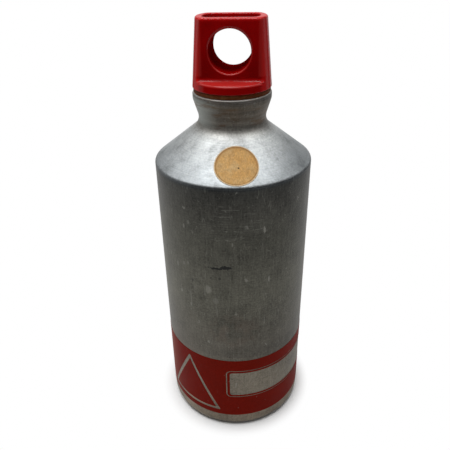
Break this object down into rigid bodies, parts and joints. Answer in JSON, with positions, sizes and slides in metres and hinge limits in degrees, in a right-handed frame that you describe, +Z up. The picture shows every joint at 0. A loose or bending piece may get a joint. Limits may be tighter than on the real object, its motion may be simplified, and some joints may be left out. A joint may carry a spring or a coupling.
{
  "type": "camping fuel bottle",
  "caption": "Aluminium fuel bottle with a cone shoulder, a waisted neck and a screw stopper that has a finger hole through its grip.",
  "frame": {"origin": "middle of the base, on the plane that the foot stands on", "axes": "+Z up along the bottle's axis; the finger hole's axis is Y; -Y is the front, which the camera sees a little from its right"},
  "size_m": [0.0732, 0.0732, 0.2067],
  "materials": {
    "bottle_metal": "drawn aluminium, dull and finely scratched",
    "ring_metal": "turned aluminium",
    "seal_rubber": "matt, aged brown-black rubber",
    "stopper_plastic": "glossy moulded red plastic, slightly worn",
    "band_ink": "screen-printed red ink, scuffed",
    "sticker_paper": "aged orange paper dot"
  },
  "bodies": {
    "bottle": {"bottle_shell": "bottle_metal", "neck_thread_ring": "ring_metal", "printed_band": "band_ink", "shoulder_sticker": "sticker_paper"},
    "seal": {"sealing_ring": "seal_rubber"},
    "stopper": {"stopper": "stopper_plastic"}
  },
  "joints": [
    {"name": "stopper_lift", "type": "slide", "parent": "bottle", "child": "seal", "axis": [0, 0, 1], "range_m": [0, 0.016]},
    {"name": "stopper_turn", "type": "hinge", "parent": "seal", "child": "stopper", "pos_m": [0, 0, 0.178], "axis": [0, 0, 1], "range_deg": [0, 1440]}
  ],
  "couplings": [
    {"joint": "stopper_lift", "follows": "stopper_turn", "m_per_rad": 0.00063662}
  ]
}
